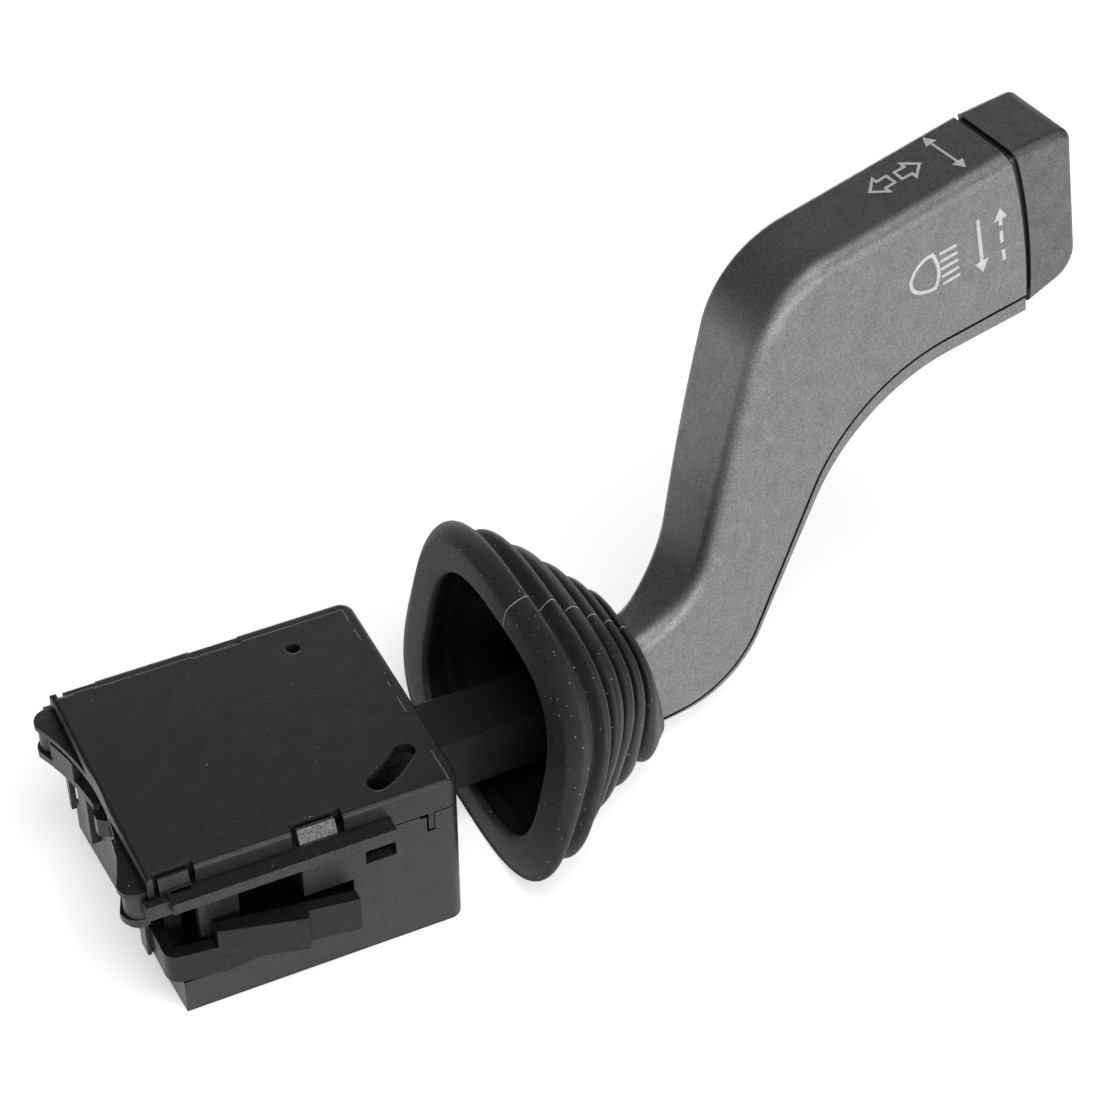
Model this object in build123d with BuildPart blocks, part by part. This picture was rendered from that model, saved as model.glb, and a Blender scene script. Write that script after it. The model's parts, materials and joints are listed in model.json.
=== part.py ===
"""Column stalk switch for turn signals and main beam, as an assembly of separate pieces.

The frame: the origin lies on the flat underside of the base housing, under the axis that the stalk
turns about. +X runs out along the stalk, +Z points out of the top cover, and -Y is the front wall.
All sizes are in millimetres.
"""

import os
from math import copysign, cos, pi, radians, sin

from build123d import *

os.makedirs("parts", exist_ok=True)

# Housing, seen from above as a box with its crease on the column side
housing_length = 54.4
housing_width = 48.0
housing_height = 32.9
pivot_from_crease = 33.0
wall = 2.0
floor = 2.2
corner_radius = 2.5
left_wall = 2.0
base_left_front = 4.1
base_left_back = 1.8
seam_drop = 6.3
seam_gap = 0.25
fit = 0.2

# Column clearance and the two plates that carry it
column_radius = 50.0
column_bite = 0.3
ear_reach = 4.0
ear_half = 23.5
ear_radius = 3.0
ear_drop = 2.6
ear_thickness = 1.1
tray_drop = 8.5
tray_thickness = 1.4
lug_y = (13.0, 14.8)
lug_taper = 0.5
lug_length = 9.0
tray_block = (11.0, 18.0)
tray_block_reach = 2.6

# Slide rails along both long sides
rail_drop = 3.7
rail_height = 2.2
rail_proud = 3.1
rail_start = 3.0
rail_stop = 12.8

# Cover
cover_plate = 2.0
skirt = 1.8
edge_radius = 0.8
sight_hole = (41.2, 16.5)
sight_hole_radius = 1.2
arc_slot_inset = 0.2
arc_slot_middle = -54.5
arc_slot_width = 3.8
small_window = (1.1, 8.1)
small_window_depth = 1.6
large_window = (24.7, 33.7)
large_window_depth = 2.2
small_hook = (2.0, 7.2)
small_hook_inset = (1.3, 0.2)
large_hook = (25.9, 32.5)
large_hook_inset = (1.7, 0.0)
hook_slope = 0.6
hook_drop = 0.9
tab_slot = (6.3, 4.8)
tab_slot_depth = 3.9
wall_window = (37.1, 42.5)
wall_window_drop = (6.9, 4.0)
post_x = (8.6, 15.6)
post_y = (19.6, 21.4)
post_drop = 5.0

# Release latches
latch_thickness = 2.2
latch_flare = 0.144
latch_left = 1.8
latch_front = 23.7
latch_corner = 3.4
latch_length = 34.2
latch_low_z = (7.4, 13.4)
latch_high_z = (9.9, 17.1)
latch_step = 10.4
latch_slant = (11.3, 17.2)
latch_wedge_end = 24.9
latch_wedge_rise = 1.7
latch_root_y = 15.0
latch_root_radius = 1.4
latch_gap = 0.5
latch_window = 26.0
seat_reach = 2.0
seat_depth = 2.6
hinge_clearance = 0.06

# Turn carrier, which turns about Z at the origin
turn_angle = 11.0
journal_radius = 3.0
running = 0.05
boss_wall = 2.0
carrier_gap = (3.1, 2.8)
carrier_x = (-15.0, 6.0)
carrier_half = 10.7
cheek = 2.5
plate = 2.5

# Lever, which tilts about Y near the housing's mid height
tilt_drop = 0.45
pull_angle = 8.0
push_angle = 6.0
hub_clearance = 0.2
hub_height = 11.0
hub_x = (-9.0, 6.5)
pin_radius = 2.0
tail_radius = 20.0
ball_radius = 1.9
arm_half_start = 6.2
arm_half_end = 5.3
arm_below = 5.7
arm_above = 5.4
arm_end = 57.5
arm_window_half = 10.8
arm_window_below = 8.8

# Detents: sprung plungers that ride on the lands between the notches
plunger_radius = 1.55
land_gap = 0.3
turn_land_radius = 21.7
turn_plunger_z = 6.2
turn_plunger_length = 8.4
barrel_radius = 2.6
tilt_land_radius = 12.5
tilt_plunger_y = 4.6
tilt_plunger_length = 5.8
spring_length = 3.4
notch_radius = 1.7
notch_depth = 0.9
wire = 0.35

# Contacts
board_top = 3.8
contact_thickness = 0.3
peg_radius = 1.2
strip_far = 18.0
strip_half = 2.4
strip_gap = 0.8
bridge_y = 5.2
guide_reach = 3.6
guide_width = 0.75
slider_shift = 0.2
slider_half = 7.5
slider_z = (4.25, 6.4)
tilt_slider_half = 8.0
tilt_slider_x = (-24.6, -18.6)
blade_count = 5
blade_pitch = 2.4
blade_width = 1.6
blade_thickness = 0.6
blade_y = 14.0
blade_foot = 10.8
well_inset = (12.0, 0.4)
well_y = (12.9, 21.2)
well_depth = 11.5
well_wall = 1.4

# Cancelling pawl
pawl_pivot_x = -24.0
pawl_pin_radius = 1.25
pawl_drop = (8.7, 4.9)
pawl_hub_radius = 3.2
pawl_reach = 9.9
pawl_half = 1.9
pawl_window_half = 4.6
pawl_spring_reach = 6.8

# Handle: an S-shaped hollow grip on a plane turned a little about Z
handle_yaw = 8.0
handle_x = 62.0
handle_front_y = -4.8
handle_depth = 16.0
neck_depth = 9.0
shell = 1.8
neck_start = -1.5
ridge_radius = 3.2
back_radius = 1.2
lid_gap = 0.8
lid_recess = 0.2
lid_rim = 1.2
lid_rim_height = 3.0
rib_length = 9.0
rib_thickness = 1.2
rib_spots = ((20.3, 40.0, 12.0), (25.0, 62.0, 12.0), (33.0, 84.0, 60.0), (56.0, 93.6, 100.0))
tongue_reach = 12.0
tongue_height = 17.6
tongue_width = 10.0
tongue_depth = (2.1, 6.6)
pin_spot = (6.0, 17.6)
fixing_radius = 1.5
groove = 1.2
groove_depth = 1.0

# Rubber boot: each row holds a ring's x, z, lean, half width and half height
boot_wall = 1.5
boot_y = 0.0
neck_fit = 0.3
boot_face = (35.8, 22.6, 10.6, 30.8, 22.3)
boot_rim = (37.4, 23.1, 14.4, 33.0, 23.7)
boot_back = (38.8, 23.1, 14.7, 32.3, 23.1)
boot_mouth = (23.2, 17.9)
boot_folds = (
    (43.4, 22.4, 13.7, 30.4, 21.7),
    (47.5, 21.4, 17.2, 26.0, 19.2),
    (52.1, 20.4, 16.1, 21.9, 16.9),
    (57.0, 19.5, 10.5, 18.1, 14.8),
    (62.3, 18.6, 0.3, 14.6, 12.9),
)
boot_tip = (66.0, 18.2, -12.0, 9.0, 11.8)
lip_thickness = 2.6
fold_depth = 2.6
oval_power = 2.4
lip_power = 2.8
mouth_power = 3.2
oval_points = 24

# Worked out from the sizes above
crease = -pivot_from_crease
right = crease + housing_length
half = housing_width / 2
seam_z = housing_height - seam_drop
ear_top = housing_height - ear_drop
tray_top = housing_height - tray_drop
rail_top = housing_height - rail_drop
rail_bottom = rail_top - rail_height
rail_end = right - rail_stop
inner_left = crease + base_left_front + left_wall
inner_right = right - wall
inner_half = half - wall
column_x = crease + column_bite - column_radius
cover_under = housing_height - cover_plate
carrier_z = (floor + carrier_gap[0], cover_under - carrier_gap[1])
pawl_z = (cover_under - pawl_drop[0], cover_under - pawl_drop[1])
tilt_z = housing_height / 2 - tilt_drop
arm_z = (tilt_z - arm_below, tilt_z + arm_above)
boss_radius = journal_radius + boss_wall
slider_reach = (boss_radius + inner_right) / 2 - slider_shift
well_x = (inner_right - well_inset[0], inner_right - well_inset[1])
root_x = crease + latch_left + latch_thickness / 2


def block(x, y, z, mode=Mode.ADD):
    """A box between a low and a high value on each axis."""
    with Locations(((x[0] + x[1]) / 2, (y[0] + y[1]) / 2, (z[0] + z[1]) / 2)):
        Box(x[1] - x[0], y[1] - y[0], z[1] - z[0], mode=mode)


def pillar(x, y, z, radius, mode=Mode.ADD):
    """An upright cylinder between two heights."""
    with Locations((x, y, (z[0] + z[1]) / 2)):
        Cylinder(radius, z[1] - z[0], mode=mode)


def rod(start, end, radius, mode=Mode.ADD):
    """A cylinder from one point to another."""
    run = Vector(*end) - Vector(*start)
    with Locations(Plane(origin=start, z_dir=run.normalized())):
        Cylinder(radius, run.length, align=(Align.CENTER, Align.CENTER, Align.MIN), mode=mode)


def both(low, high, side):
    """A span on Y mirrored to the chosen side, low end first."""
    ends = sorted((side * low, side * high))
    return (ends[0], ends[1])


def front_view(points, y, mode=Mode.ADD):
    """An outline drawn on X and Z, filled between two places on Y."""
    with BuildSketch(Plane(origin=(0, y[1], 0), x_dir=(1, 0, 0), z_dir=(0, -1, 0))) as view:
        with BuildLine():
            Polyline(*points, close=True)
        make_face()
    extrude(view.sketch, amount=y[1] - y[0], mode=mode)


def side_view(points, x, mode=Mode.ADD):
    """An outline drawn on Y and Z, filled between two places on X."""
    with BuildSketch(Plane(origin=(x[0], 0, 0), x_dir=(0, 1, 0), z_dir=(1, 0, 0))) as view:
        with BuildLine():
            Polyline(*points, close=True)
        make_face()
    extrude(view.sketch, amount=x[1] - x[0], mode=mode)


# Base housing: a tub with slide rails, a tray on the column side and windows for the latches
with BuildPart() as base_housing:
    with BuildSketch() as footprint:
        with BuildLine():
            Polyline(
                (crease + base_left_front, -half),
                (right, -half),
                (right, half),
                (crease + base_left_back, half),
                close=True,
            )
        make_face()
        fillet(footprint.vertices().sort_by(Axis.X)[-2:], corner_radius)
    extrude(amount=rail_top)
    block((inner_left, inner_right), (-inner_half, inner_half), (floor, rail_top + 1), Mode.SUBTRACT)
    block((crease - 1, inner_left), (-half, half), (tray_top, rail_top + 1), Mode.SUBTRACT)
    block((rail_end, right + 1), (-half, half), (seam_z, rail_top + 1), Mode.SUBTRACT)
    with BuildSketch(Plane.XY.offset(tray_top - tray_thickness)) as tray:
        with Locations(((crease - ear_reach + inner_left) / 2, 0)):
            Rectangle(inner_left - crease + ear_reach, 2 * ear_half)
        fillet(tray.vertices().group_by(Axis.X)[0], ear_radius)
    extrude(amount=tray_thickness)
    for side in (-1, 1):
        corner_x = crease - ear_reach + ear_radius
        block(
            (crease + rail_start, rail_end), both(half - 1, half + rail_proud, side), (rail_bottom, rail_top)
        )
        block(
            (corner_x, crease + rail_start + 1),
            both(ear_half - ear_radius, half + 1.6, side),
            (rail_bottom - 1.2, rail_top - 0.4),
        )
        pillar(corner_x, side * (ear_half - ear_radius + 0.4), (tray_top - 2, rail_top), ear_radius - 0.6)
        block(
            (crease - tray_block_reach, crease + 0.6), both(*tray_block, side), (tray_top, rail_top - 0.7)
        )
    pillar(column_x, 0, (tray_top - 4, housing_height), column_radius, Mode.SUBTRACT)
    for side in (-1, 1):
        outer = both(inner_half - 0.1, half + 1, side)
        low_z = latch_low_z[0] - latch_gap
        high_z = latch_high_z[0] - latch_gap
        strap_window = [
            (crease, low_z),
            (crease + latch_slant[0] + latch_gap, low_z),
            (crease + latch_slant[1] + latch_gap, high_z),
            (crease + latch_length + latch_gap, high_z),
            (crease + latch_length + latch_gap, latch_high_z[1] + latch_gap),
            (crease + latch_window, latch_high_z[1] + latch_gap),
            (crease + latch_window, rail_bottom),
            (crease, rail_bottom),
        ]
        front_view(strap_window, outer, Mode.SUBTRACT)
        block(
            (crease, inner_left + 0.1),
            both(latch_root_y, half + 1, side),
            (low_z, tray_top - tray_thickness),
            Mode.SUBTRACT,
        )
        window_x = (crease + wall_window[0], crease + wall_window[1])
        window_z = (rail_bottom - wall_window_drop[0], rail_bottom - wall_window_drop[1])
        block(window_x, outer, window_z, Mode.SUBTRACT)
        tab_x = right - tab_slot[0]
        block((tab_x, right - tab_slot[1]), outer, (seam_z - tab_slot_depth, seam_z), Mode.SUBTRACT)
        block((tab_x - 1.1, tab_x + 0.1), outer, (seam_z - 0.5, seam_z), Mode.SUBTRACT)
        # Snap hooks with sloped faces that stand in the cover's windows
        for span, inset in ((small_hook, small_hook_inset), (large_hook, large_hook_inset)):
            hook = [
                (side * (half - inset[0]), rail_top - 1),
                (side * (half - inset[1]), rail_top - 1),
                (side * (half - inset[1]), rail_top + 0.5),
                (side * (half - inset[0] + hook_slope), housing_height - hook_drop),
                (side * (half - inset[0]), housing_height - hook_drop),
            ]
            side_view(hook, (crease + span[0], crease + span[1]))
        # Dark gap under the small hook, and a post seen behind the latch
        gap_x = (crease + small_hook[0] + 1.8, crease + small_hook[1] - 0.2)
        block(gap_x, both(half - 0.1, half + 0.9, side), (rail_top - 0.9, rail_top + 0.1), Mode.SUBTRACT)
        post_z = (floor - 1, rail_bottom - post_drop)
        block((crease + post_x[0], crease + post_x[1]), both(*post_y, side), post_z)
        # Seat that the latch's round root turns in
        block(
            (root_x - seat_reach, inner_left + 1.2),
            both(latch_root_y - seat_depth, latch_root_y + 0.65, side),
            (low_z, tray_top - 1),
        )
        block(
            (root_x - latch_thickness / 2 - 0.2, root_x + latch_thickness / 2 + 0.2),
            both(latch_root_y, latch_root_y + 0.7, side),
            (low_z, tray_top - tray_thickness),
            Mode.SUBTRACT,
        )
        pillar(
            root_x,
            side * latch_root_y,
            (low_z, tray_top - tray_thickness),
            latch_root_radius + hinge_clearance,
            Mode.SUBTRACT,
        )
    # Window for the lever, wide enough for its swing and tilt
    block(
        (inner_right - 1, right + 1),
        (-arm_window_half, arm_window_half),
        (tilt_z - arm_window_below, seam_z + 1),
        Mode.SUBTRACT,
    )
    # Window for the pawl through the tray and the wall under it
    block(
        (crease - 2, inner_left + 0.1),
        (-pawl_window_half, pawl_window_half),
        (pawl_z[0] - 0.8, tray_top + 1),
        Mode.SUBTRACT,
    )
    # Lower bearing of the carrier
    pillar(0, 0, (floor - 1, carrier_z[0] - 0.3), boss_radius)
    pillar(0, 0, (1.2, carrier_z[0]), journal_radius + running, Mode.SUBTRACT)
    # Guides of the tilt slider
    for side in (-1, 1):
        block(
            (inner_left - 1, tilt_slider_x[1] - 1.6),
            both(tilt_slider_half + fit, tilt_slider_half + fit + 1.8, side),
            (floor - 1, tray_top - 3.4),
        )
    # Connector well, open underneath
    block(
        (well_x[0] - well_wall, well_x[1] + well_wall),
        (well_y[0] - well_wall, inner_half + 0.5),
        (floor - 1, well_depth + well_wall),
    )
    block(well_x, well_y, (-1, well_depth), Mode.SUBTRACT)
    block(
        (well_x[0], well_x[1]),
        (blade_y - fit, blade_y + blade_thickness + fit),
        (well_depth - 1, well_depth + well_wall + 1),
        Mode.SUBTRACT,
    )
    # Thin lug that tapers downwards under the tray on the column side
    lug = [
        (lug_y[0], tray_top - 1),
        (lug_y[1], tray_top - 1),
        (lug_y[1] - lug_taper, tray_top - lug_length),
        (lug_y[0] + lug_taper, tray_top - lug_length),
    ]
    side_view(lug, (crease - 1.4, crease - 0.4))
base_housing.part.label = "base_housing"
export_step(base_housing.part, "parts/base_housing.step")

# Top cover: plate, skirt, two ears on the column side, windows and bearings
with BuildPart() as top_cover:
    skirt_z = seam_z + seam_gap
    with BuildSketch(Plane.XY.offset(skirt_z)) as outline:
        with Locations(((crease + right) / 2, 0)):
            Rectangle(housing_length, housing_width)
        fillet(outline.vertices().sort_by(Axis.X)[-2:], corner_radius)
    extrude(amount=housing_height - skirt_z)
    fillet(top_cover.faces().sort_by(Axis.Z)[-1].edges(), edge_radius)
    block(
        (crease + skirt, right - skirt),
        (-half + skirt, half - skirt),
        (seam_z - 1, cover_under),
        Mode.SUBTRACT,
    )
    block((crease - 1, rail_end + fit), (-half, half), (seam_z - 1, rail_top), Mode.SUBTRACT)
    with BuildSketch(Plane.XY.offset(ear_top - ear_thickness)) as ears:
        with Locations((crease - ear_reach / 2 + skirt / 2, 0)):
            Rectangle(ear_reach + skirt, 2 * ear_half)
        fillet(ears.vertices().group_by(Axis.X)[0], ear_radius)
    extrude(amount=ear_thickness)
    pillar(column_x, 0, (tray_top, housing_height + 1), column_radius, Mode.SUBTRACT)
    for side in (-1, 1):
        block(
            (crease + small_window[0], crease + small_window[1]),
            both(half - small_window_depth, half + 1, side),
            (rail_top - 1, housing_height + 1),
            Mode.SUBTRACT,
        )
        block(
            (crease + large_window[0], crease + large_window[1]),
            both(half - large_window_depth, half + 1, side),
            (rail_top - 1, housing_height + 1),
            Mode.SUBTRACT,
        )
        # Tab that hangs in the base's narrow slot
        block(
            (right - tab_slot[0] + 0.4, right - tab_slot[1] - 0.1),
            both(half - skirt, half - 0.1, side),
            (seam_z - tab_slot_depth + 0.4, skirt_z + 0.1),
        )
    with BuildSketch(Plane.XY.offset(housing_height)):
        with Locations((crease + sight_hole[0], sight_hole[1])):
            Circle(sight_hole_radius)
    extrude(amount=-cover_plate, mode=Mode.SUBTRACT)
    with BuildSketch(Plane.XY.offset(housing_height)) as arc_slot:
        with BuildLine() as slot_line:
            CenterArc((0, 0), right - arc_slot_inset, arc_slot_middle - turn_angle, 2 * turn_angle)
        SlotArc(slot_line.edges()[0], arc_slot_width)
    extrude(amount=-cover_plate, mode=Mode.SUBTRACT)
    # Upper bearing of the carrier and the boss that holds the pawl's pin
    pillar(0, 0, (carrier_z[1] + 0.3, cover_under + 0.5), boss_radius)
    pillar(0, 0, (carrier_z[1], cover_under + 0.4), journal_radius + running, Mode.SUBTRACT)
    pillar(pawl_pivot_x, 0, (pawl_z[1] + 1.9, cover_under + 0.5), pawl_pin_radius + 1.5)
    pillar(pawl_pivot_x, 0, (pawl_z[1], cover_under + 0.4), pawl_pin_radius, Mode.SUBTRACT)
top_cover.part.label = "top_cover"
export_step(top_cover.part, "parts/top_cover.step")

# Release latches: sprung straps that wrap round the column-side corners and flare outwards
def strap(along, out=0.0):
    """A point on the strap's outer face, moved outwards by out."""
    return (crease + along, -latch_front - (along - latch_corner) * latch_flare - out)


strap_outline = [
    (crease - 1, latch_low_z[0]),
    (crease + latch_slant[0], latch_low_z[0]),
    (crease + latch_slant[1], latch_high_z[0]),
    (crease + latch_length + 1, latch_high_z[0]),
    (crease + latch_length + 1, latch_high_z[1]),
    (crease + latch_step, latch_high_z[1]),
    (crease + latch_step, latch_low_z[1]),
    (crease - 1, latch_low_z[1]),
]

with BuildPart() as front_latch:
    with BuildSketch(Plane.XY.offset(latch_low_z[0])):
        with BuildLine():
            Polyline(
                (root_x - latch_thickness / 2, -latch_root_y),
                (root_x + latch_thickness / 2, -latch_root_y),
                (root_x + latch_thickness / 2, latch_thickness - latch_front),
                strap(latch_length, -latch_thickness),
                strap(latch_length),
                strap(latch_wedge_end + 0.6),
                strap(latch_wedge_end, latch_wedge_rise),
                strap(latch_step),
                (root_x - latch_thickness / 2, -latch_front),
                close=True,
            )
        make_face()
    extrude(amount=latch_high_z[1] - latch_low_z[0])
    front_view(strap_outline, (-half - 10, 0), Mode.INTERSECT)
    corner = (root_x - latch_thickness / 2, -latch_front, latch_low_z[0])
    fillet(front_latch.edges().filter_by(Axis.Z).sort_by_distance(corner)[0], 2.6)
    pillar(root_x, -latch_root_y, latch_low_z, latch_root_radius)
front_latch.part.label = "front_latch"
export_step(front_latch.part, "parts/front_latch.step")

with BuildPart() as rear_latch:
    add(mirror(front_latch.part, about=Plane.XZ, mode=Mode.PRIVATE))
rear_latch.part.label = "rear_latch"
export_step(rear_latch.part, "parts/rear_latch.step")

# Turn carrier: an open frame round the lever's hub, with journals, a detent barrel and a drive peg
bar_z = (carrier_z[0] + 1.4, carrier_z[0] + 3.0)

with BuildPart() as turn_carrier:
    block(carrier_x, (-carrier_half, carrier_half), carrier_z)
    block(
        (carrier_x[0] - 1, carrier_x[1] + 1),
        (cheek - carrier_half, carrier_half - cheek),
        (carrier_z[0] + plate, carrier_z[1] - plate),
        Mode.SUBTRACT,
    )
    upright = turn_carrier.edges().filter_by(Axis.Z)
    fillet(upright.group_by(Axis.Y)[0] + upright.group_by(Axis.Y)[-1], 2.0)
    # Web beside the lever's tail, with the tilt detent's arc and three notches
    web_high = carrier_half - cheek + 0.1
    web_low = tilt_plunger_y - 1.8
    with BuildSketch(Plane(origin=(0, web_high, tilt_z), x_dir=(1, 0, 0), z_dir=(0, -1, 0))):
        with Locations((carrier_x[0] / 2 - (tilt_land_radius - 2.2) / 2, 0)):
            Rectangle(-carrier_x[0] - tilt_land_radius + 2.2, carrier_z[1] - carrier_z[0] - 2 * plate + 0.4)
        Circle(tilt_land_radius, mode=Mode.SUBTRACT)
        for angle in (180 - push_angle, 180, 180 + pull_angle):
            reach = tilt_land_radius + notch_depth - notch_radius
            with Locations((reach * cos(radians(angle)), reach * sin(radians(angle)))):
                Circle(notch_radius, mode=Mode.SUBTRACT)
    extrude(amount=web_high - web_low)
    # Journals
    pillar(0, 0, (1.4, carrier_z[0] + 1), journal_radius)
    pillar(0, 0, (carrier_z[1] - 1, cover_under + 0.1), journal_radius)
    # Barrel of the turn detent
    barrel_start = (-turn_land_radius + 3.2, 0, turn_plunger_z)
    rod(barrel_start, (-7.0, 0, turn_plunger_z), barrel_radius)
    rod(
        (barrel_start[0] - 1, 0, turn_plunger_z),
        (turn_plunger_length + spring_length - turn_land_radius + land_gap, 0, turn_plunger_z),
        plunger_radius + running,
        Mode.SUBTRACT,
    )
    # Bar and peg that drive the turn slider
    block((carrier_x[1] - 1, slider_reach + peg_radius), (-2.4, 2.4), bar_z)
    pillar(slider_reach, 0, (slider_z[0] + 0.3, bar_z[0] + 0.5), peg_radius)
    # Bores of the tilt pin
    rod((0, -carrier_half - 1, tilt_z), (0, carrier_half + 1, tilt_z), pin_radius + 0.01, Mode.SUBTRACT)
turn_carrier.part.label = "turn_carrier"
export_step(turn_carrier.part, "parts/turn_carrier.step")

with BuildPart() as tilt_pin:
    rod((0, -carrier_half + 0.1, tilt_z), (0, carrier_half - 0.1, tilt_z), pin_radius)
    chamfer(tilt_pin.edges().filter_by(GeomType.CIRCLE), 0.4)
tilt_pin.part.label = "tilt_pin"
export_step(tilt_pin.part, "parts/tilt_pin.step")


def plunger(length):
    """A pin with a round nose, standing on its nose's tip at the origin."""
    with BuildPart() as pin:
        with BuildSketch(Plane.XZ):
            with BuildLine():
                Line((0, plunger_radius), (0, length))
                Line((0, length), (plunger_radius, length))
                Line((plunger_radius, length), (plunger_radius, plunger_radius))
                CenterArc((0, plunger_radius), plunger_radius, 270, 90)
                Line((0, 0), (0, plunger_radius))
            make_face()
        revolve(axis=Axis.Z)
    return pin.part


def ring(radius, height):
    """A closed ring of wire about Z, six-sided in section so that it stays light."""
    with BuildSketch(Plane.XZ) as section:
        with Locations((radius, height)):
            RegularPolygon(wire, 6)
    revolve(section.sketch, axis=Axis.Z)


def coil(length, turns):
    """A compression spring standing on the origin, its helix drawn as closed rings of wire."""
    with BuildPart() as spring:
        for turn in range(turns):
            ring(plunger_radius - wire - 0.15, wire + turn * (length - 2 * wire) / (turns - 1))
        with Locations((plunger_radius - wire - 0.15, 0, length / 2)):
            Cylinder(wire * 0.8, length - 2 * wire)
    return spring.part


def lay(piece, point):
    """The piece turned so that its +Z runs along +X, with its foot at the point."""
    return Location(point) * Location((0, 0, 0), (0, 90, 0)) * piece


turn_nose = land_gap - turn_land_radius
tilt_nose = land_gap - tilt_land_radius

with BuildPart() as turn_detent_plunger:
    add(lay(plunger(turn_plunger_length), (turn_nose, 0, turn_plunger_z)))
turn_detent_plunger.part.label = "turn_detent_plunger"
export_step(turn_detent_plunger.part, "parts/turn_detent_plunger.step")

with BuildPart() as turn_detent_spring:
    add(lay(coil(spring_length - 0.1, 5), (turn_nose + turn_plunger_length + 0.05, 0, turn_plunger_z)))
turn_detent_spring.part.label = "turn_detent_spring"
export_step(turn_detent_spring.part, "parts/turn_detent_spring.step")

with BuildPart() as tilt_detent_plunger:
    add(lay(plunger(tilt_plunger_length), (tilt_nose, tilt_plunger_y, tilt_z)))
tilt_detent_plunger.part.label = "tilt_detent_plunger"
export_step(tilt_detent_plunger.part, "parts/tilt_detent_plunger.step")

with BuildPart() as tilt_detent_spring:
    add(lay(coil(spring_length - 0.1, 5), (tilt_nose + tilt_plunger_length + 0.05, tilt_plunger_y, tilt_z)))
tilt_detent_spring.part.label = "tilt_detent_spring"
export_step(tilt_detent_spring.part, "parts/tilt_detent_spring.step")

# Turn cam: a block on the floor with an arc about the turn axis and three notches
with BuildPart() as turn_detent_cam:
    with BuildSketch(Plane.XY.offset(floor)):
        with Locations(((inner_left - turn_land_radius + 1.8) / 2, 0)):
            Rectangle(-turn_land_radius + 1.8 - inner_left, 2 * tilt_slider_half)
        Circle(turn_land_radius, mode=Mode.SUBTRACT)
        for angle in (180 - turn_angle, 180, 180 + turn_angle):
            reach = turn_land_radius + notch_depth - notch_radius
            with Locations((reach * cos(radians(angle)), reach * sin(radians(angle)))):
                Circle(notch_radius, mode=Mode.SUBTRACT)
    extrude(amount=turn_plunger_z + 2.4 - floor)
turn_detent_cam.part.label = "turn_detent_cam"
export_step(turn_detent_cam.part, "parts/turn_detent_cam.step")

# Contacts of the turn signal: a board on the floor, two rows of strips and a bridging slider
board_y = (3.0 - inner_half, blade_foot + blade_thickness + 0.1)
strip_x = (slider_reach - 1.9, slider_reach + 1.9)

with BuildPart() as contact_board:
    block((slider_reach - guide_reach - fit, slider_reach + guide_reach + fit), board_y, (floor, board_top))
    block((well_x[0] - 0.8, well_x[1] - fit), (boss_radius + 1.0, board_y[1]), (floor, board_top))
    for x in (slider_reach - guide_reach, slider_reach + guide_reach - guide_width):
        block((x, x + guide_width), (-blade_foot, blade_foot - 0.9), (board_top, slider_z[1] - 0.2))
contact_board.part.label = "contact_board"
export_step(contact_board.part, "parts/contact_board.step")

with BuildPart() as fixed_contacts:
    for x in strip_x:
        for y in (
            (-strip_far, -strip_half - strip_gap),
            (-strip_half, strip_half),
            (strip_half + strip_gap, blade_foot),
        ):
            block((x - 0.6, x + 0.6), y, (board_top, board_top + contact_thickness))
fixed_contacts.part.label = "fixed_contacts"
export_step(fixed_contacts.part, "parts/fixed_contacts.step")

with BuildPart() as turn_slider:
    slider_side = guide_reach - guide_width - 0.15
    block((slider_reach - slider_side, slider_reach + slider_side), (-slider_half, slider_half), slider_z)
    block(
        (slider_reach - peg_radius - 0.6, slider_reach + peg_radius + 0.3),
        (-peg_radius - 0.08, peg_radius + 0.08),
        (slider_z[0] - 1, slider_z[1] + 1),
        Mode.SUBTRACT,
    )
    fillet(turn_slider.edges().filter_by(Axis.Z).group_by(Axis.Y)[-1], 0.6)
    pocket_z = (slider_z[0] - 1, slider_z[0] + 0.5)
    for x in strip_x:
        for y in (-bridge_y, bridge_y):
            block((x - 0.45, x + 0.45), (y - 1.7, y + 1.7), pocket_z, Mode.SUBTRACT)
turn_slider.part.label = "turn_slider"
export_step(turn_slider.part, "parts/turn_slider.step")

with BuildPart() as turn_bridges:
    top = slider_z[0] + 0.45
    for x in strip_x:
        for y in (-bridge_y, bridge_y):
            bow = [(1.6, 0), (1.6, -0.3), (0.6, -0.42), (-0.6, -0.42), (-1.6, -0.3), (-1.6, 0)]
            side_view([(y + across, top + drop) for across, drop in bow], (x - 0.4, x + 0.4))
turn_bridges.part.label = "turn_bridges"
export_step(turn_bridges.part, "parts/turn_bridges.step")

# Contacts of the main beam: a slider that the lever's tail lifts, against strips on the left wall
tilt_board = (inner_left, inner_left + 0.8)

with BuildPart() as tilt_board_contacts:
    for y in (-5.0, 0.0, 5.0):
        block(tilt_board, (y - 1.2, y + 1.2), (turn_plunger_z + 3.4, pawl_z[0] - 1.8))
tilt_board_contacts.part.label = "tilt_contacts"
export_step(tilt_board_contacts.part, "parts/tilt_contacts.step")

slot_half = ball_radius + 0.08
with BuildPart() as tilt_slider:
    block(
        tilt_slider_x,
        (-tilt_slider_half, tilt_slider_half),
        (tilt_z - slot_half - 1.1, tilt_z + slot_half + 1.1),
    )
    block(
        (-tail_radius - ball_radius - 0.5, tilt_slider_x[1] + 1),
        (-tilt_slider_half - 1, tilt_slider_half + 1),
        (tilt_z - slot_half, tilt_z + slot_half),
        Mode.SUBTRACT,
    )
tilt_slider.part.label = "tilt_slider"
export_step(tilt_slider.part, "parts/tilt_slider.step")

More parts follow.
